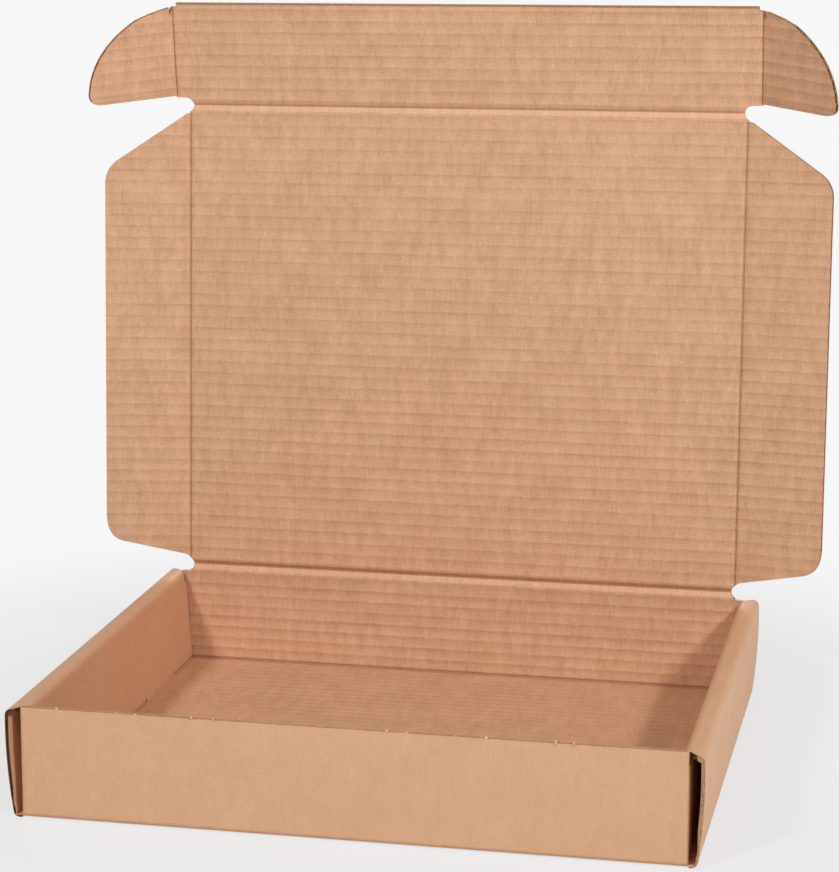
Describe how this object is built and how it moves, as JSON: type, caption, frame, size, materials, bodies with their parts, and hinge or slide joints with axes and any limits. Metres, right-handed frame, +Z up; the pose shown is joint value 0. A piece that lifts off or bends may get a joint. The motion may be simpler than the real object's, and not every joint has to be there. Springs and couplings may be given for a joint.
{
  "type": "corrugated mailer box",
  "caption": "Brown corrugated cardboard mailer with an open hinged lid, folding side flaps, a front tuck flap with ears and rolled double side walls.",
  "frame": {"origin": "centre of the underside of the tray", "axes": "+X to the right along the front wall, +Y to the hinge at the back, +Z up; the lid stands open at the back"},
  "size_m": [0.4011, 0.2759, 0.368],
  "materials": {
    "kraft_board": "matte"
  },
  "bodies": {
    "tray": {"tray": "kraft_board"},
    "lid": {"lid": "kraft_board"},
    "front_flap": {"front_flap": "kraft_board"},
    "left_ear": {"left_ear": "kraft_board"},
    "right_ear": {"right_ear": "kraft_board"},
    "left_side_flap": {"left_side_flap": "kraft_board"},
    "right_side_flap": {"right_side_flap": "kraft_board"}
  },
  "joints": [
    {"name": "lid_hinge", "type": "hinge", "parent": "tray", "child": "lid", "pos_m": [0, 0.1261, 0.0575], "axis": [1, 0, 0], "range_deg": [-85.3, 94.7]},
    {"name": "front_flap_fold", "type": "hinge", "parent": "lid", "child": "front_flap", "pos_m": [0, 0.14703, 0.31214], "axis": [1, 0, 0], "range_deg": [-11, 79]},
    {"name": "left_side_flap_fold", "type": "hinge", "parent": "lid", "child": "left_side_flap", "pos_m": [-0.1525, 0.1261, 0.0575], "axis": [0, 0.0819, 0.9966], "range_deg": [-13, 80]},
    {"name": "right_side_flap_fold", "type": "hinge", "parent": "lid", "child": "right_side_flap", "pos_m": [0.1525, 0.1261, 0.0575], "axis": [0, -0.0819, -0.9966], "range_deg": [-13, 80]},
    {"name": "left_ear_fold", "type": "hinge", "parent": "front_flap", "child": "left_ear", "pos_m": [-0.16, 0.14703, 0.31214], "axis": [0, -0.1097, 0.994], "range_deg": [-40, 50]},
    {"name": "right_ear_fold", "type": "hinge", "parent": "front_flap", "child": "right_ear", "pos_m": [0.16, 0.14703, 0.31214], "axis": [0, 0.1097, -0.994], "range_deg": [-38, 52]}
  ]
}
